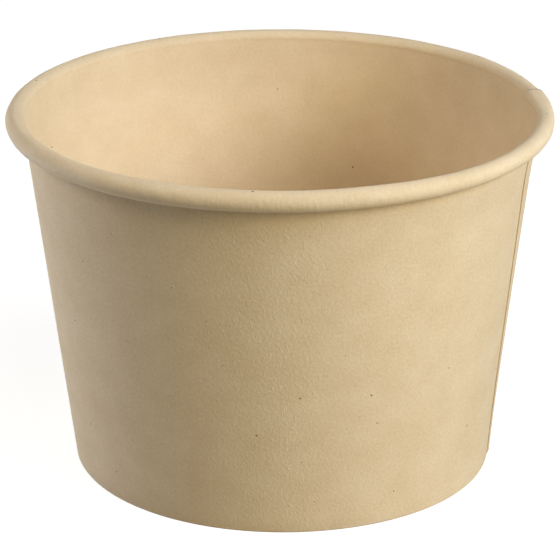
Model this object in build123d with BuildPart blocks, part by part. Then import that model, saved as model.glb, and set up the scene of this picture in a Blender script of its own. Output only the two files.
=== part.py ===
from build123d import *
import os
from math import acos, asin, atan2, cos, degrees, hypot, radians, sin, tan

# A disposable cup of bamboo fibre paper, made of two blanks.
# The side wall is one sheet wrapped to a cone and glued where its ends lap. Its top edge is
# rolled outwards as the rim, and its bottom edge is folded in and up as a hem.
# The bottom is a disc with a turned-down skirt, sealed between the wall and the hem.
# The origin is the centre of the circle that the cup stands on, and +Z is up.
# Angles go round the cup from +X towards +Y, in degrees.

# Driving sizes, in millimetres
rim_diameter = 115.0  # outside of the rolled rim
base_diameter = 89.8  # outside of the wall, where it meets the table
cup_height = 77.8
roll_diameter = 4.3  # height of the rolled rim
paper = 0.4  # side wall sheet
bottom_paper = 0.35  # sheet of the bottom
recess = 9.0  # room under the bottom, above the table
hem_height = 6.5  # how far up the folded-in edge reaches
bevel = 0.25  # the pressed corners of the hem's fold and of the bottom's bend
seal_gap = 0.05  # left on each side of the skirt for the seal
roll_gap = 0.1  # between the end of the roll and the lapped wall
roll_step = 30  # angle between the creases that round the roll

# The lap of the side wall
inner_end = 12.5  # where the ply inside the lap ends
outer_end = -16.0  # where the ply outside the lap ends
ramp = 35.0  # angle over which the sheet comes back in, behind the inner end
ramp_steps = 7

# Worked out from the sizes
rim_radius = rim_diameter / 2
base_radius = base_diameter / 2
roll_radius = roll_diameter / 2
roll_centre = Vector(rim_radius - roll_radius, cup_height - roll_radius)
pocket = bottom_paper + 2 * seal_gap  # the space between wall and hem that holds the skirt

# The wall's outer face runs from the table to where it is tangent to the back of the roll
reach = hypot(roll_centre.X - base_radius, roll_centre.Y)
chord_lean = atan2(roll_centre.X - base_radius, roll_centre.Y)
lean = chord_lean - asin((roll_radius - paper) / reach)  # the wall's angle from upright

# The roll goes round from the wall and stops short of the lap's second ply. Its creases are at
# even angles, with one at the top and one at the widest place.
roll_start = 180 - degrees(lean)
roll_end = degrees(acos(1 - (2 * paper + roll_gap) / roll_radius)) - 180 - degrees(lean)
creases = [step * roll_step for step in range(180 // roll_step - 1, -180 // roll_step, -1)]
roll_angles = [roll_start, *[angle for angle in creases if angle > roll_end], roll_end]


def roll_points(radius):
    """The corners of one face of the roll, from the wall to the end of the sheet."""
    return [
        (
            roll_centre.X + radius * cos(radians(angle)),
            roll_centre.Y + radius * sin(radians(angle)),
        )
        for angle in roll_angles
    ]


def wall_radius(depth, height):
    """Radius at a depth in from the wall's outer face, measured square to it."""
    return base_radius + height * tan(lean) - depth / cos(lean)


def wall_point(depth, height):
    """The same as a point of a section: radius and height."""
    return (wall_radius(depth, height), height)


def section_plane(angle):
    """The upright plane through the axis at an angle: its X is the radius and its Y is up."""
    out = Vector(cos(radians(angle)), sin(radians(angle)), 0)
    return Plane(origin=(0, 0, 0), x_dir=out, z_dir=out.cross(Vector(0, 0, 1)))


def sheet_section(angle, shift):
    """The sheet's section at an angle, from the end of the roll to the top of the hem.

    The shift is how far the ply stands outside the ply that it covers. It moves the wall
    outwards and the roll inwards, and the hem stays where it is.
    """
    near_hem = paper + pocket
    far_hem = near_hem + paper
    slant = Vector(cos(lean), -sin(lean))
    hem_top = Vector(*wall_point(near_hem, hem_height))
    face = roll_points(roll_radius - shift)
    back = roll_points(roll_radius - shift - paper)
    with BuildSketch(section_plane(angle)) as section:
        with BuildLine():
            Polyline(
                *reversed(face),
                wall_point(paper - shift, paper),
                wall_point(near_hem, paper),
                hem_top,
                hem_top - slant * paper,
                wall_point(far_hem, bevel),
                (wall_radius(far_hem, 0) + bevel, 0),
                (wall_radius(-shift, 0) - bevel, 0),
                wall_point(-shift, bevel),
                *back,
                face[-1],
            )
        make_face()
    return section.sketch


def ease(share):
    """A smooth start and end: 0 at 0 and 1 at 1."""
    return share * share * (3 - 2 * share)


# The side wall: the inner ply, the outer ply of the lap, and the ramp that joins them behind it
with BuildPart() as sidewall:
    revolve(sheet_section(inner_end + ramp, 0), axis=Axis.Z, revolution_arc=360 - ramp)
    revolve(sheet_section(outer_end, paper), axis=Axis.Z, revolution_arc=inner_end - outer_end)
    shares = [step / (ramp_steps - 1) for step in range(ramp_steps)]
    loft([sheet_section(inner_end + ramp * share, paper * ease(1 - share)) for share in shares])

# The bottom: a disc and the skirt turned down from its edge, in the pocket above the hem's fold
skirt_outside = paper + seal_gap
skirt_inside = skirt_outside + bottom_paper
skirt_foot = paper + seal_gap
disc_top = recess + bottom_paper
with BuildPart() as bottom_disc:
    with BuildSketch(Plane.XZ):
        with BuildLine():
            Polyline(
                (0, disc_top),
                (wall_radius(skirt_outside, disc_top) - bevel, disc_top),
                wall_point(skirt_outside, disc_top - bevel),
                wall_point(skirt_outside, skirt_foot),
                wall_point(skirt_inside, skirt_foot),
                wall_point(skirt_inside, recess),
                (0, recess),
                close=True,
            )
        make_face()
    revolve(axis=Axis.Z)

os.makedirs("parts", exist_ok=True)
sidewall.part.label = "sidewall"
bottom_disc.part.label = "bottom_disc"
export_step(sidewall.part, "parts/sidewall.step")
export_step(bottom_disc.part, "parts/bottom_disc.step")

for piece in (sidewall.part, bottom_disc.part):
    size = piece.bounding_box().size
    print(piece.label, "solids", len(piece.solids()), "volume", round(piece.volume, 1), "size", size)
print("wall leans", round(degrees(lean), 2), "degrees")
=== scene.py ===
# %% [markdown]
# A disposable cup of bamboo fibre paper
#
# The cup has two pieces of paper. One blank is wrapped to a cone, lapped and glued, rolled
# outwards at the top and folded in at the foot. The other is the bottom, a disc with a skirt
# that the fold holds. The CAD model gives their sizes and places. Its surfaces arrive as flats
# that show in a close view, so both pieces are made again here as smooth sheets in their places.

# %% Load the frame
import math
import bpy
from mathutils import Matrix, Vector, noise


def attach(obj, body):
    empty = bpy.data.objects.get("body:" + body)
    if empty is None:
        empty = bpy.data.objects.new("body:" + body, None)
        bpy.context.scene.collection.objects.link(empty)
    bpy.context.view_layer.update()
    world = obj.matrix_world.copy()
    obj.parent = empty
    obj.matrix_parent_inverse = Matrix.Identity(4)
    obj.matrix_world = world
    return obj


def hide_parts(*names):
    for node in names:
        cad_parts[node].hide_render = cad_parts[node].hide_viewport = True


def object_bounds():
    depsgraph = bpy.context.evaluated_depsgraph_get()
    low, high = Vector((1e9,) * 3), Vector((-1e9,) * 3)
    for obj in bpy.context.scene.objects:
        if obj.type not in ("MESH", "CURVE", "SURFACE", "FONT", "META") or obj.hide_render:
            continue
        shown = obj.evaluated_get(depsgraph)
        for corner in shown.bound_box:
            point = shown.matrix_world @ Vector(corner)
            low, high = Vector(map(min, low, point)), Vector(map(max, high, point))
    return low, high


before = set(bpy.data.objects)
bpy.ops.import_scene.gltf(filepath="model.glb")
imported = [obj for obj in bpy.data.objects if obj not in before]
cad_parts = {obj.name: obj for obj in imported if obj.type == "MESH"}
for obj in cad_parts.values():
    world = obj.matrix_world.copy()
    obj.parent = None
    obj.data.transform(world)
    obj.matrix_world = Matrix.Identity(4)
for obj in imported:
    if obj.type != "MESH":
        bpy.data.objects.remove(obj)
cad_low, cad_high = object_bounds()
print("CAD box, mm:", [round(1000 * side, 2) for side in cad_high - cad_low])

# %% [markdown]
# Sizes
#
# Lengths are in metres. The rim's radius and the height come from the frame, and the other sizes
# are those of the CAD model. Angles go round the cup from +X towards +Y.

# %% Sizes
MM = 0.001
rim_radius = cad_high.x
cup_height = cad_high.z
base_radius = 44.9 * MM
roll_radius = 2.15 * MM
paper = 0.4 * MM
bottom_paper = 0.35 * MM
recess = 9.0 * MM  # room under the bottom
hem_height = 6.5 * MM
seal_gap = 0.05 * MM  # on each side of the bottom's skirt
roll_gap = 0.1 * MM  # between the end of the roll and the lapped wall
pocket = bottom_paper + 2 * seal_gap  # between wall and hem, where the skirt goes

roll_x = rim_radius - roll_radius
roll_z = cup_height - roll_radius
reach = math.hypot(roll_x - base_radius, roll_z)
lean = math.atan2(roll_x - base_radius, roll_z) - math.asin((roll_radius - paper) / reach)
print("the wall leans", round(math.degrees(lean), 2), "degrees")

# %% [markdown]
# The lap
#
# The blank's two ends lie over each other on the right of the cup. The outer ply's cut edge shows
# as a line down the wall, and the inner ply's end as a step in the rim. The edges aren't quite
# upright, so each has an angle at the top and one at the foot. Behind the inner end the sheet has
# nothing under it, and comes back in by its own thickness along a ramp.

# %% The lap
inner_end_top = math.radians(10.3)
inner_end_foot = math.radians(12.5)
outer_end_top = math.radians(-18.1)
outer_end_foot = math.radians(-9.8)
ramp = math.radians(35)
print("the lap spans", round(math.degrees(inner_end_top - outer_end_top), 1), "degrees at the top")

# %% [markdown]
# A sheet from its middle line
#
# Paper keeps its thickness wherever it bends. So a section is drawn as a middle line of points,
# each with the direction square to it, and the two faces are half a thickness to each side. Arcs
# are cut into short equal steps, and straight stretches into long ones.

# %% Middle lines


def arc_line(centre, radius, start, turn, steps):
    """Points along an arc, each with the direction away from the arc's centre."""
    line = []
    for step in range(steps + 1):
        angle = start + turn * step / steps
        out = Vector((math.cos(angle), math.sin(angle)))
        line.append((Vector(centre) + out * radius, out))
    return line


def straight_line(start, end, out, steps):
    """Points between two ends, which are left out, all with the same direction."""
    start, end = Vector(start), Vector(end)
    return [(start.lerp(end, step / steps), Vector(out)) for step in range(1, steps)]


# %% [markdown]
# The side wall's section
#
# The line starts at the end of the rolled rim, runs round the roll, down the wall, through the
# pressed fold at the foot and up to the top of the hem. Where the sheet lies over itself in the
# lap, the outer ply is one thickness further out on the wall and one further in inside the roll.
# The neck is the top of the wall, cut into shorter steps because the roll's marks fade out there.

# %% The side wall's section
fold_radius = 0.25 * MM
neck_length = 3 * MM
roll_steps, neck_steps, wall_steps, fold_steps, hem_steps = 48, 10, 24, 6, 5


def wall_radius(depth, height):
    """Radius at a depth in from the wall's outer face, measured square to it."""
    return base_radius + height * math.tan(lean) - depth / math.cos(lean)


def wall_section(shift):
    """The sheet's middle line, with directions that point to the face that holds the food.

    The shift is how far the ply stands outside the ply that it covers.
    """
    turn = math.tau - math.acos(1 - (2 * paper + roll_gap) / roll_radius)
    start = math.pi - lean
    out = Vector((math.cos(lean), -math.sin(lean)))
    middle_radius = roll_radius - shift - paper / 2
    roll = arc_line((roll_x, roll_z), middle_radius, start - turn, turn, roll_steps)

    middle_height = paper / 2
    wall_foot = wall_radius(paper / 2 - shift, middle_height)
    hem_foot = wall_radius(1.5 * paper + pocket, middle_height)
    fold_height = middle_height + fold_radius
    outer_centre = (wall_foot - fold_radius + fold_radius * math.tan(lean), fold_height)
    inner_centre = (hem_foot + fold_radius + fold_radius * math.tan(lean), fold_height)
    outer_fold = arc_line(outer_centre, fold_radius, -lean, lean - math.pi / 2, fold_steps)
    inner_fold = arc_line(inner_centre, fold_radius, -math.pi / 2, -math.pi / 2 - lean, fold_steps)
    outer_fold = [(point, -side) for point, side in outer_fold]
    inner_fold = [(point, -side) for point, side in inner_fold]

    neck_end = roll[-1][0] + (outer_fold[0][0] - roll[-1][0]).normalized() * neck_length
    wall = straight_line(roll[-1][0], neck_end, -out, neck_steps) + [(neck_end, -out)]
    wall += straight_line(neck_end, outer_fold[0][0], -out, wall_steps)
    hem_top = Vector((wall_radius(1.5 * paper + pocket, hem_height), hem_height))
    hem = straight_line(inner_fold[-1][0], hem_top, out, hem_steps)
    return roll + wall + outer_fold + inner_fold + hem + [(hem_top, out)]


print("the side wall's section has", len(wall_section(0)), "points")

# %% [markdown]
# An uneven wall
#
# No paper cup is perfectly round. The cone wavers a little, its left side leans slightly more
# than the rest, and the foot stands out where its stiff plies spring back beside the lap. The
# waver is smooth noise on the cup's skin, which meets itself again after a full turn, and fades
# out at the foot and the roll. A seed only moves the noise, so that no two are alike.

# %% An uneven wall
wall_waver = 0.05 * MM
waver_length = 34 * MM
waver_seed = 3.1
waver_foot_fade = 14 * MM
waver_top_fade = 10 * MM
extra_lean = 0.6 * MM
extra_lean_angle = math.radians(180)
extra_lean_pivot = 0.45  # the share of the height at which the lean turns
foot_bulge = 1.0 * MM
foot_bulge_angle = math.radians(-37)
foot_bulge_width = math.radians(38)
foot_bulge_height = 11 * MM
fall_start = 0.6  # radii inside the roll's middle


def ripple(angle, height, length, seed):
    """Smooth noise from -1 to 1 on the cup's skin, with features of about the given length."""
    place = Vector((math.cos(angle), math.sin(angle), 0)) * base_radius / length
    return noise.noise(place + Vector((seed, 0, height / length)))


def ease(share):
    """A smooth start and end: 0 at 0 and 1 at 1."""
    share = min(max(share, 0), 1)
    return share * share * (3 - 2 * share)


def wall_move(angle, height):
    """How far the wall stands outwards of the true cone."""
    free = ease(height / waver_foot_fade) * ease((roll_z - height) / waver_top_fade)
    waver = wall_waver * ripple(angle, height, waver_length, waver_seed) * free
    aside = math.remainder(angle - foot_bulge_angle, math.tau) / foot_bulge_width
    bulge = foot_bulge * math.exp(-aside * aside) * math.exp(-height / foot_bulge_height)
    on_left = max(math.cos(angle - extra_lean_angle), 0) ** 2
    return waver + bulge + extra_lean * on_left * (height / cup_height - extra_lean_pivot)


def on_wall_side(x):
    """1 on the wall and its side of the roll, falling to 0 on the outside of the roll.

    The fall starts inside the roll's middle, and takes one radius.
    """
    return 1 - ease((x - roll_x) / roll_radius + fall_start)


print("the foot's bulge is", round(wall_move(foot_bulge_angle, 0) / MM, 2), "mm")

# %% [markdown]
# Dents and wrinkles in the roll
#
# The sheet is dry when it is rolled, and has to stretch at the rim's widest place, so its skin
# gets shallow dents and fine wrinkles. Both are noise that runs faster along the section than
# round the cup, and they only go inwards, so the rim keeps its diameter.

# %% Dents and wrinkles in the roll
dent_depth = 0.12 * MM
dent_length = 7 * MM
dent_speed = 2.5  # how much faster the noise runs along the section
dent_seed = 8.2
wrinkle_depth = 0.07 * MM
wrinkle_length = 2.4 * MM
wrinkle_speed = 1.4
wrinkle_seed = 5.7
pressed_out = 0.06 * MM  # the tool presses out what is shallower than this


def roll_dent(angle, along):
    """How deep the roll's skin is dented, at a distance along its section."""
    dents = 0.5 + 0.5 * ripple(angle, along * dent_speed, dent_length, dent_seed)
    wrinkles = 0.5 + 0.5 * ripple(angle, along * wrinkle_speed, wrinkle_length, wrinkle_seed)
    return max(dent_depth * dents + wrinkle_depth * wrinkles - pressed_out, 0)


print("the deepest dent can be", round((dent_depth + wrinkle_depth - pressed_out) / MM, 2), "mm")

# %% [markdown]
# The roll's inner side
#
# Rolling pushes the paper a little over the wall, as a low bead all round. In the lap, where two
# plies are rolled together, the bead grows up to the inner ply's end, and drops off there within
# half a degree. That drop is the step that shows in the rim.

# %% The roll's inner side
bead_depth = 0.1 * MM
bead_rise = 0.5 * MM
bead_top = 2.7 * MM
bead_fall = 1.9 * MM
lap_bead_depth = 0.5 * MM
lap_bead_start = math.radians(-8)
lap_bead_fade = math.radians(14)
lap_bead_step = math.radians(0.4)


def bead(angle, up_roll):
    """How far the roll's inner side swells inwards, at a distance up from the wall's top."""
    place = math.remainder(angle, math.tau)
    in_lap = ease((place - lap_bead_start) / lap_bead_fade)
    in_lap *= ease((inner_end_top - place) / lap_bead_step + 1)
    profile = ease(up_roll / bead_rise) * ease((bead_top - up_roll) / bead_fall)
    return (bead_depth + lap_bead_depth * in_lap) * profile


print("the bead reaches", round((bead_depth + lap_bead_depth) / MM, 2), "mm in the lap")

# %% [markdown]
# A narrower roll beside the lap
#
# In front of the inner ply's end the roll is tighter than elsewhere. Its section shrinks there
# towards an anchor on its outer lower side, so the outline stays and the inner side moves out.
# The top of the wall is drawn along, and the pull fades out down the wall.

# %% A narrower roll beside the lap
squeeze_share = 0.15
squeeze_start, squeeze_start_fade = math.radians(-78), math.radians(40)
squeeze_end, squeeze_end_fade = math.radians(8), math.radians(12)
squeeze_reach = 12 * MM
anchor_out = 0.7 * roll_radius  # out and down from the roll's centre, nearly on its skin


def squeeze(angle, point, down_wall):
    """How the roll's section shrinks beside the lap.

    The point is on the roll, or is the wall's top, which takes the wall below it along.
    """
    place = math.remainder(angle, math.tau)
    here = ease((squeeze_end - place) / squeeze_end_fade)
    here *= ease((place - squeeze_start) / squeeze_start_fade)
    anchor = Vector((roll_x + anchor_out, roll_z - anchor_out))
    return (anchor - point) * squeeze_share * here * (1 - ease(down_wall / squeeze_reach))


# %% [markdown]
# From a section to a closed sheet
#
# The section is placed at many angles round the cup. The points of both faces make two grids,
# and narrow strips along the four cut edges close them to a solid. The mesh also gets a map of
# the flat blank in millimetres, so that the fibres can follow the sheet round the roll. On that
# map the outside lies far from the food side, so that the two never share a pattern.

# %% A closed sheet
FACE_MATERIAL, EDGE_MATERIAL = 0, 1
outside_offset = 800  # mm on the map


def sheet_faces(rows, columns, closed_round):
    """Corner numbers of both skins, and then of the strips along the cut edges."""
    count = rows * columns

    def corner(face, row, column):
        return face * count + (row % rows) * columns + column

    spans = rows if closed_round else rows - 1
    skins = []
    for row in range(spans):
        for column in range(columns - 1):
            here = [(row, column), (row + 1, column), (row + 1, column + 1), (row, column + 1)]
            skins.append([corner(0, *place) for place in here])
            skins.append([corner(1, *place) for place in reversed(here)])
    strips = []
    for row in range(spans):
        for column in (0, columns - 1):
            strip = [corner(0, row, column), corner(0, row + 1, column)]
            strip += [corner(1, row + 1, column), corner(1, row, column)]
            strips.append(strip[::-1] if column == 0 else strip)
    if not closed_round:
        for column in range(columns - 1):
            for row in (0, rows - 1):
                strip = [corner(0, row, column), corner(0, row, column + 1)]
                strip += [corner(1, row, column + 1), corner(1, row, column)]
                strips.append(strip if row == 0 else strip[::-1])
    return skins, strips


def closed_sheet(name, rows, thickness, closed_round):
    """Makes an object from rows of sections. A row is a list of (point, side, across, along)."""
    points, flat = [], []
    for side_share, offset in ((0.5, 0), (-0.5, outside_offset)):
        for row in rows:
            for place, side, across, along in row:
                points.append(place + side * thickness * side_share)
                flat.append((across + offset, along))
    skins, strips = sheet_faces(len(rows), len(rows[0]), closed_round)

    mesh = bpy.data.meshes.new(name)
    mesh.from_pydata(points, [], skins + strips)
    blank = mesh.uv_layers.new(name="blank_mm")
    for loop in mesh.loops:
        blank.data[loop.index].uv = flat[loop.vertex_index]
    for polygon in mesh.polygons:
        on_skin = polygon.index < len(skins)
        polygon.use_smooth = on_skin
        polygon.material_index = FACE_MATERIAL if on_skin else EDGE_MATERIAL
    piece = bpy.data.objects.new(name, mesh)
    bpy.context.scene.collection.objects.link(piece)
    print(name, "has", len(mesh.polygons), "faces")
    return piece


# %% [markdown]
# The side wall
#
# The blank starts at the outer ply's cut edge and goes all the way round to the inner ply's cut
# edge, under its own start. The seal bar presses the outer ply's edge thin, and the folding tool
# presses it thinner still at the foot. The sections stand at even angles, with some more close
# together at the step in the rim, which would look soft without them.

# %% Make the side wall
stations = 470
step_stations = 14
step_span = math.radians(2)
share_before_step = 0.35
edge_press = 0.5
edge_width = 2.5 * MM
foot_press = 0.35
foot_press_height = 5 * MM
dents_end, dents_fade = 2 * MM, 3 * MM


def station_shares():
    """Where the sections stand, as shares of the way round the blank."""
    rim_span = inner_end_top - outer_end_top
    shares = [station / stations for station in range(stations + 1)]
    for station in range(step_stations):
        past_step = step_span * (station / step_stations - share_before_step)
        shares.append((rim_span + past_step) / (rim_span + math.tau))
    return sorted(shares)


def wall_row(share):
    """The section at a share of the way round the blank, with its place on the flat blank."""
    foot_span = inner_end_foot + math.tau - outer_end_foot
    past_inner_end = outer_end_foot + foot_span * share - inner_end_foot
    line = wall_section(paper * (1 - ease(past_inner_end / ramp)))
    alongs = [0]
    for (last_point, _), (point, _) in zip(line, line[1:]):
        alongs.append(alongs[-1] + (point - last_point).length)
    roll_length = alongs[roll_steps]
    wall_top = line[roll_steps][0]

    row = []
    for (point, side), along in zip(line, alongs):
        rise = point.y / cup_height
        start = outer_end_foot + (outer_end_top - outer_end_foot) * rise
        end = inner_end_foot + (inner_end_top - inner_end_foot) * rise + math.tau
        angle = start + (end - start) * share
        out = Vector((math.cos(angle), math.sin(angle), 0))
        facing = out * side.x + Vector((0, 0, side.y))

        move = wall_move(angle, point.y) * on_wall_side(point.x)
        drawn_from = point if along < roll_length else wall_top
        pull = squeeze(angle, drawn_from, along - roll_length)
        place = out * (point.x + move + pull.x) + Vector((0, 0, point.y + pull.y))
        on_roll = ease((roll_length + dents_end - along) / dents_fade)
        place -= facing * roll_dent(angle, along) * on_roll
        place += facing * bead(angle, roll_length - along)

        pressed = edge_press + foot_press * math.exp(-point.y / foot_press_height)
        pressed *= 1 - ease((angle - start) * base_radius / edge_width)
        place += facing * paper * pressed / 2
        row.append((place, facing * (1 - pressed), angle * base_radius / MM, along / MM))
    return row


wall_rows = [wall_row(share) for share in station_shares()]
sidewall = closed_sheet("sidewall_paper", wall_rows, paper, closed_round=False)

# %% [markdown]
# The bottom
#
# The bottom is punched from a lighter sheet and drawn to a shallow pan. Its disc sags a little
# between its sealed edges, and its edge follows the uneven wall. The grid starts just beside the
# centre, because points that share one place would make faces with no area.

# %% Make the bottom
bend_radius = 0.35 * MM
disc_steps, bend_steps, skirt_steps = 24, 6, 6
bottom_stations = 180
disc_start = 0.01 * MM
disc_sag = 0.25 * MM
follow_power = 6  # how steeply the disc's share of the wall's move falls off from its edge


def bottom_section():
    """The pan's middle line, with the radius of its edge and the height where its bend starts."""
    depth = paper + seal_gap + bottom_paper / 2
    height = recess + bottom_paper / 2
    edge = wall_radius(depth, height)
    centre = (edge - bend_radius, height - bend_radius)
    disc = [(Vector((disc_start, height)), Vector((0, 1)))]
    disc += straight_line(disc[0][0], (centre[0], height), (0, 1), disc_steps)
    bend = arc_line(centre, bend_radius, math.pi / 2, -math.pi / 2 - lean, bend_steps)
    foot_height = paper + seal_gap
    foot = Vector((wall_radius(depth, foot_height), foot_height))
    out = Vector((math.cos(lean), -math.sin(lean)))
    skirt = straight_line(bend[-1][0], foot, out, skirt_steps) + [(foot, out)]
    return disc + bend + skirt, edge, centre[1]


def bottom_rows():
    """The section at each station, with its place on the flat blank."""
    line, edge, bend_height = bottom_section()
    rows = []
    for station in range(bottom_stations):
        angle = math.tau * station / bottom_stations
        out = Vector((math.cos(angle), math.sin(angle), 0))
        row = []
        along = 0
        for index, (point, side) in enumerate(line):
            if index:
                along += (point - line[index - 1][0]).length
            sag = disc_sag * (1 - ease(point.x / edge)) if point.y > bend_height else 0
            follow = wall_move(angle, point.y) * min(1, point.x / edge) ** follow_power
            place = out * (point.x + follow) + Vector((0, 0, point.y - sag))
            facing = out * side.x + Vector((0, 0, side.y))
            row.append((place, facing, out.x * along / MM, out.y * along / MM))
        rows.append(row)
    return rows


bottom = closed_sheet("bottom_paper", bottom_rows(), bottom_paper, closed_round=True)

# %% [markdown]
# Tie the pieces to the model
#
# Each sheet stands for its CAD piece and rides on the cup's only body.

# %% Tie the pieces
for piece, node_name, slot_name in (
    (sidewall, "sidewall", "wall_paper"),
    (bottom, "bottom_disc", "bottom_paper"),
):
    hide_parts(node_name)
    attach(piece, "root")
    print(piece.name, "stands for", node_name)

# %% [markdown]
# Nodes and colours
#
# One helper turns a written colour into the linear values that Blender works in, and one adds a
# node with its settings and links.

# %% Helpers for materials


def linear(hex_colour):
    """A colour written as sRGB hex, as linear red, green, blue and alpha."""
    channels = [int(hex_colour[place : place + 2], 16) / 255 for place in (0, 2, 4)]
    return [
        level / 12.92 if level <= 0.04045 else ((level + 0.055) / 1.055) ** 2.4
        for level in channels
    ] + [1]


def add_node(tree, kind, inputs=(), **settings):
    """A new node. Inputs are (socket, value) pairs, where a value may be another node's output."""
    made = tree.nodes.new(kind)
    for name, value in settings.items():
        setattr(made, name, value)
    for socket, value in inputs:
        if isinstance(value, bpy.types.NodeSocket):
            tree.links.new(value, made.inputs[socket])
        else:
            made.inputs[socket].default_value = value
    return made


# %% [markdown]
# Bamboo fibre paper: tone
#
# This is unbleached bamboo pulp, pressed and dried to a board of 0.4 mm and left unprinted. It is
# matt and pale tan. Its tone has soft clouds about 9 mm wide, where the pulp settled unevenly, and
# a fine grain of 0.6 mm. Both are drawn on the map of the flat blank, in millimetres, so that they
# go round the rim with the sheet. The side that holds the food was pressed smoother, so its grain
# and relief are weaker. On the map, the outside begins beyond a border half the offset away.

# %% The paper's tone
cloud_size = 9.0
cloud_range = (0.14, 0.54)  # shares of the deep colour
grain_size = 0.6
grain_range = (0.0, 0.4)
middle_of_noise = (0.25, 0.75)  # where most of a noise texture's values lie
food_side_share = 0.6


def relief_share(tree, blank):
    """How much of the grain and the relief a face shows: less on the side of the food."""
    across = add_node(tree, "ShaderNodeSeparateXYZ", [("Vector", blank)]).outputs["X"]
    border = outside_offset / 2
    sides = [("Value", across), ("From Min", border), ("From Max", border + 1)]
    sides += [("To Min", food_side_share), ("To Max", 1.0)]
    return add_node(tree, "ShaderNodeMapRange", sides).outputs["Result"]


def paper_tone(tree, blank, face_share, pale, deep):
    """Clouds and grain between a pale and a deep colour."""
    shades = []
    for size, detail, roughness, (low, high) in (
        (cloud_size, 5, 0.62, cloud_range),
        (grain_size, 2, 0.5, grain_range),
    ):
        look = [("Vector", blank), ("Scale", 1 / size), ("Detail", detail)]
        look += [("Roughness", roughness)]
        spots = add_node(tree, "ShaderNodeTexNoise", look).outputs["Fac"]
        stretch = [("Value", spots), ("From Min", middle_of_noise[0])]
        stretch += [("From Max", middle_of_noise[1]), ("To Min", low), ("To Max", high)]
        shades.append(add_node(tree, "ShaderNodeMapRange", stretch).outputs["Result"])
    clouds, grain = shades
    sum_up = [(0, grain), (1, face_share), (2, clouds)]
    share = add_node(tree, "ShaderNodeMath", sum_up, operation="MULTIPLY_ADD").outputs["Value"]
    colours = [("Factor", share), (6, linear(pale)), (7, linear(deep))]
    return add_node(tree, "ShaderNodeMix", colours, data_type="RGBA").outputs[2]


# %% [markdown]
# Bamboo fibre paper: specks
#
# Bits of bark pass through the pulping and stay in the board as a few dark specks, up to 0.4 mm
# wide and a centimetre or two apart. A Voronoi texture gives each cell of 8 mm one centre and a
# random colour. The speck is a disc round the centre, larger where the colour is lighter, and the
# darker cells have none.

# %% The paper's specks
speck_spacing = 8.0
speck_radius = 0.19
speck_chance = (0.58, 0.9)  # cell colours with no speck, and with one of full size


def with_specks(tree, blank, tone, fleck):
    """The tone with dark specks on it."""
    cells = add_node(
        tree,
        "ShaderNodeTexVoronoi",
        [("Vector", blank), ("Scale", 1 / speck_spacing)],
        voronoi_dimensions="2D",
    )
    sizes = [("Value", cells.outputs["Color"])]
    sizes += [("From Min", speck_chance[0]), ("From Max", speck_chance[1])]
    sizes += [("To Max", speck_radius / speck_spacing)]
    size = add_node(tree, "ShaderNodeMapRange", sizes).outputs["Result"]
    compare = [(0, cells.outputs["Distance"]), (1, size)]
    speck = add_node(tree, "ShaderNodeMath", compare, operation="LESS_THAN").outputs["Value"]
    colours = [("Factor", speck), (6, tone), (7, linear(fleck))]
    return add_node(tree, "ShaderNodeMix", colours, data_type="RGBA").outputs[2]


# %% [markdown]
# Bamboo fibre paper: relief
#
# A single bamboo fibre is about 2 mm long and only 0.02 mm thick, far finer than a pixel of the
# render, so bundles of fibres are drawn, 1.4 mm long and 0.45 mm wide. A noise texture has round
# spots, so the map is stretched and turned to draw them long. They lie in three directions and
# come in patches of 3 mm, over the same fine grain. The rolling tool rubbed the rim's skin and
# left fine wrinkles across the roll. The relief is a twentieth of a millimetre deep.

# %% The paper's relief
fibre_size = (1.4, 0.45)
fibre_turns = (math.radians(45), math.radians(76), math.radians(112))
patch_size = 3.0
patch_range = (0.4, 0.62)  # noise values from which a patch starts and is full
patch_least = 0.2
relief_depth = 0.052 * MM
rubbed_end, rubbed_fade = 9.5, 1.5  # mm from the roll's end
wrinkle_size = (0.7, 2.5)
wrinkle_strength = 2.4


def rubbed_share(tree, blank):
    """1 on the roll's skin, which the rolling tool rubbed, and 0 on the wall."""
    along = add_node(tree, "ShaderNodeSeparateXYZ", [("Vector", blank)]).outputs["Y"]
    fade = [("Value", along), ("From Min", rubbed_end), ("From Max", rubbed_end - rubbed_fade)]
    return add_node(tree, "ShaderNodeMapRange", fade).outputs["Result"]


def fibre_height(tree, blank):
    """Fine grain with bundles of fibres on it, as a height."""
    fine = [("Vector", blank), ("Scale", 1 / grain_size), ("Detail", 3)]
    height = add_node(tree, "ShaderNodeTexNoise", fine).outputs["Fac"]
    for turn in fibre_turns:
        turned = [("Vector", blank), ("Rotation", (0, 0, turn)), ("Scale", (*fibre_size, 1))]
        turned_map = add_node(tree, "ShaderNodeMapping", turned, vector_type="TEXTURE")
        along_fibre = turned_map.outputs["Vector"]
        fibres = add_node(
            tree,
            "ShaderNodeTexNoise",
            [("Vector", along_fibre), ("Scale", 1), ("Detail", 1), ("Distortion", 0.7)],
            noise_type="RIDGED_MULTIFRACTAL",
        ).outputs["Fac"]
        spots = [("Vector", along_fibre), ("Scale", 1 / patch_size), ("Detail", 1)]
        patches = add_node(tree, "ShaderNodeTexNoise", spots).outputs["Fac"]
        stretch = [("Value", patches), ("From Min", patch_range[0])]
        stretch += [("From Max", patch_range[1]), ("To Min", patch_least)]
        patches = add_node(tree, "ShaderNodeMapRange", stretch).outputs["Result"]
        sum_up = [(0, fibres), (1, patches), (2, height)]
        height = add_node(tree, "ShaderNodeMath", sum_up, operation="MULTIPLY_ADD").outputs["Value"]
    return height


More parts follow.
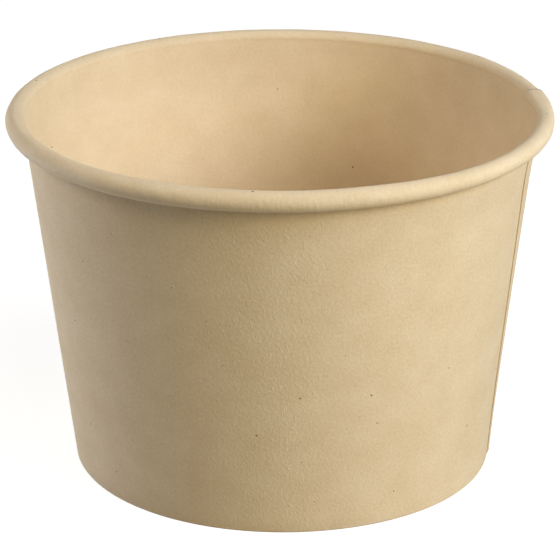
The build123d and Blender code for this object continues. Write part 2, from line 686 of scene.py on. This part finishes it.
def paper_relief(tree, blank, face_share, rubbed):
    """The normal of the paper's surface: fibres, and wrinkles where the tool rubbed it."""
    weaken = [(0, fibre_height(tree, blank)), (1, face_share)]
    height = add_node(tree, "ShaderNodeMath", weaken, operation="MULTIPLY").outputs["Value"]
    narrowed = [("Vector", blank), ("Scale", (*wrinkle_size, 1))]
    narrow_map = add_node(tree, "ShaderNodeMapping", narrowed, vector_type="TEXTURE")
    creases = [("Vector", narrow_map.outputs["Vector"]), ("Scale", 1), ("Detail", 2)]
    wrinkles = add_node(tree, "ShaderNodeTexNoise", creases).outputs["Fac"]
    only_roll = [(0, rubbed), (1, wrinkle_strength)]
    strength = add_node(tree, "ShaderNodeMath", only_roll, operation="MULTIPLY").outputs["Value"]
    sum_up = [(0, wrinkles), (1, strength), (2, height)]
    height = add_node(tree, "ShaderNodeMath", sum_up, operation="MULTIPLY_ADD").outputs["Value"]
    depth = [("Height", height), ("Strength", 1.0), ("Distance", relief_depth)]
    return add_node(tree, "ShaderNodeBump", depth).outputs["Normal"]


# %% [markdown]
# Bamboo fibre paper: finish
#
# Uncoated paper scatters light and hardly shines: its index is 1.5, as of cellulose, but its open
# surface gives back only a part of that, and it is rough. The rubbed roll is a little smoother.
# The knife laid the paper's core bare along the cut edges, and there it is a little browner.

# %% The paper's finish
wall_roughness, rubbed_roughness = 0.7, 0.5
paper_index = 1.5
paper_gloss = 0.06


def bamboo_paper(name, pale, deep, fleck):
    """The paper's material, with its patterns in millimetres on the flat blank."""
    material = bpy.data.materials.new(name)
    material.use_nodes = True
    tree = material.node_tree
    tree.nodes.clear()
    blank = add_node(tree, "ShaderNodeUVMap", uv_map="blank_mm").outputs["UV"]
    face_share = relief_share(tree, blank)
    rubbed = rubbed_share(tree, blank)
    tone = paper_tone(tree, blank, face_share, pale, deep)
    smoother = [("Value", rubbed), ("To Min", wall_roughness), ("To Max", rubbed_roughness)]
    surface = add_node(
        tree,
        "ShaderNodeBsdfPrincipled",
        [
            ("Base Color", with_specks(tree, blank, tone, fleck)),
            ("Roughness", add_node(tree, "ShaderNodeMapRange", smoother).outputs["Result"]),
            ("IOR", paper_index),
            ("Specular IOR Level", paper_gloss),
            ("Normal", paper_relief(tree, blank, face_share, rubbed)),
        ],
    )
    add_node(tree, "ShaderNodeOutputMaterial", [("Surface", surface.outputs["BSDF"])])
    print(name, "has", len(tree.nodes), "nodes")
    return material


face_material = bamboo_paper("bamboo_fibre_paper", "F4E0BE", "DBC197", "7C5E3C")
cut_material = bamboo_paper("cut_paper_edge", "D6BE96", "C4A67C", "6A4A2C")
for piece in (sidewall, bottom):
    piece.data.materials.append(face_material)
    piece.data.materials.append(cut_material)

# %% [markdown]
# Floor
#
# The cup stands on a plain board of a pale warm grey, which sends some light back up to the wall
# and takes the cup's soft shadow. The photograph's background is white. So for the rays that show
# the background, straight, mirrored or through glass, the board also glows, and looks white
# without lighting the cup.

# %% Floor
floor_reach = 3.0
board_colour = "A4A198"
board_glow = 0.85


def shows_background(tree):
    """1 for the rays that show the background: straight, mirrored or through glass."""
    path = add_node(tree, "ShaderNodeLightPath")
    seen = path.outputs["Is Camera Ray"]
    for other in ("Is Glossy Ray", "Is Transmission Ray"):
        either = [(0, seen), (1, path.outputs[other])]
        seen = add_node(tree, "ShaderNodeMath", either, operation="MAXIMUM").outputs["Value"]
    return seen


floor_mesh = bpy.data.meshes.new("floor")
corners = [(-floor_reach, -floor_reach, 0), (floor_reach, -floor_reach, 0)]
corners += [(floor_reach, floor_reach, 0), (-floor_reach, floor_reach, 0)]
floor_mesh.from_pydata(corners, [], [(0, 1, 2, 3)])
floor = bpy.data.objects.new("floor", floor_mesh)
bpy.context.scene.collection.objects.link(floor)

board = bpy.data.materials.new("pale_grey_board")
board.use_nodes = True
tree = board.node_tree
tree.nodes.clear()
matt = add_node(tree, "ShaderNodeBsdfDiffuse", [("Color", linear(board_colour))]).outputs["BSDF"]
only_seen = [(0, shows_background(tree)), (1, board_glow)]
level = add_node(tree, "ShaderNodeMath", only_seen, operation="MULTIPLY").outputs["Value"]
white_glow = [("Color", linear("FFFFFF")), ("Strength", level)]
glow = add_node(tree, "ShaderNodeEmission", white_glow).outputs["Emission"]
lit_board = add_node(tree, "ShaderNodeAddShader", [(0, matt), (1, glow)]).outputs["Shader"]
add_node(tree, "ShaderNodeOutputMaterial", [("Surface", lit_board)])
floor.data.materials.append(board)
print("the floor is", 2 * floor_reach, "m wide")

# %% [markdown]
# Background
#
# Past the floor the rays that show the background see white, and all others a nearly dark room,
# so that only the lamps light the cup.

# %% Background
room_level = 0.005
world = bpy.data.worlds.new("studio")
bpy.context.scene.world = world
world.use_nodes = True
tree = world.node_tree
tree.nodes.clear()
backgrounds = []
for strength in (room_level, 1.0):
    plain = [("Color", linear("FFFFFF")), ("Strength", strength)]
    backgrounds.append(add_node(tree, "ShaderNodeBackground", plain).outputs["Background"])
choice = [(0, shows_background(tree)), (1, backgrounds[0]), (2, backgrounds[1])]
around = add_node(tree, "ShaderNodeMixShader", choice).outputs["Shader"]
add_node(tree, "ShaderNodeOutputWorld", [("Surface", around)])
print("the room gives", room_level, "of white")

# %% [markdown]
# Light
#
# The bright flank comes from two soft boxes on the right. The one in front is warm, and the one
# further round is cooler, so the paper turns warmer towards the shade. A weak one high in front
# fills the shade. Two on the left, one of them further back, light the inside and the left of the
# rim. A long low card near the foot on the left draws the wall's left edge. The lamps were
# rendered one by one, to find powers whose sum comes near the photograph's shades.

# %% Lights
WARM, SUN, COOL, SKY, WHITE = "FFF1CC", "FFF0D8", "B6D2FF", "C8DAFF", "FFFFFF"
BOX, CARD = (0.35, 0.35), (0.2, 0.015)


def soft_box(name, azimuth, elevation, distance, sides, power, colour):
    """An area lamp that looks at the cup's middle from a direction round it."""
    lamp = bpy.data.lights.new(name, "AREA")
    lamp.shape = "RECTANGLE"
    lamp.size, lamp.size_y = sides
    lamp.energy = power
    lamp.color = linear(colour)[:3]
    box = bpy.data.objects.new(name, lamp)
    turn, rise = math.radians(azimuth), math.radians(elevation)
    level_out = Vector((math.cos(turn), math.sin(turn), 0))
    away = level_out * math.cos(rise) + Vector((0, 0, math.sin(rise)))
    box.location = Vector((0, 0, cup_height / 2)) + away * distance
    box.rotation_mode = "QUATERNION"
    box.rotation_quaternion = away.to_track_quat("Z", "Y")
    bpy.context.scene.collection.objects.link(box)
    return box


lamps = [
    soft_box("key", -41, 25, 0.9, BOX, 4.85, WARM),
    soft_box("side_key", -22, 31, 0.9, BOX, 4.4, COOL),
    soft_box("top", -72, 62, 0.9, BOX, 1.55, WHITE),
    soft_box("left", 180, 32, 0.9, BOX, 2.45, SUN),
    soft_box("back", 160, 30, 0.9, BOX, 1.3, COOL),
    soft_box("low_card", 171, -7, 0.22, CARD, 0.145, SKY),
]
print(len(lamps), "lamps give", round(sum(box.data.energy for box in lamps), 2), "watts")

# %% [markdown]
# Camera
#
# The place, tilt and lens come from fitting the cup's outline to the photograph.

# %% Camera
lens = bpy.data.cameras.new("camera")
lens.lens = 172.04
lens.sensor_width = 36
camera = bpy.data.objects.new("camera", lens)
bpy.context.scene.collection.objects.link(camera)
camera.location = Vector((0, -535.72, 248.4)) * MM
camera.rotation_euler = [math.radians(angle) for angle in (68.5495, 0.049, -0.0136)]
bpy.context.scene.camera = camera
bpy.context.scene.view_settings.view_transform = "Standard"
print("the camera stands", round(camera.location.length, 3), "m away")
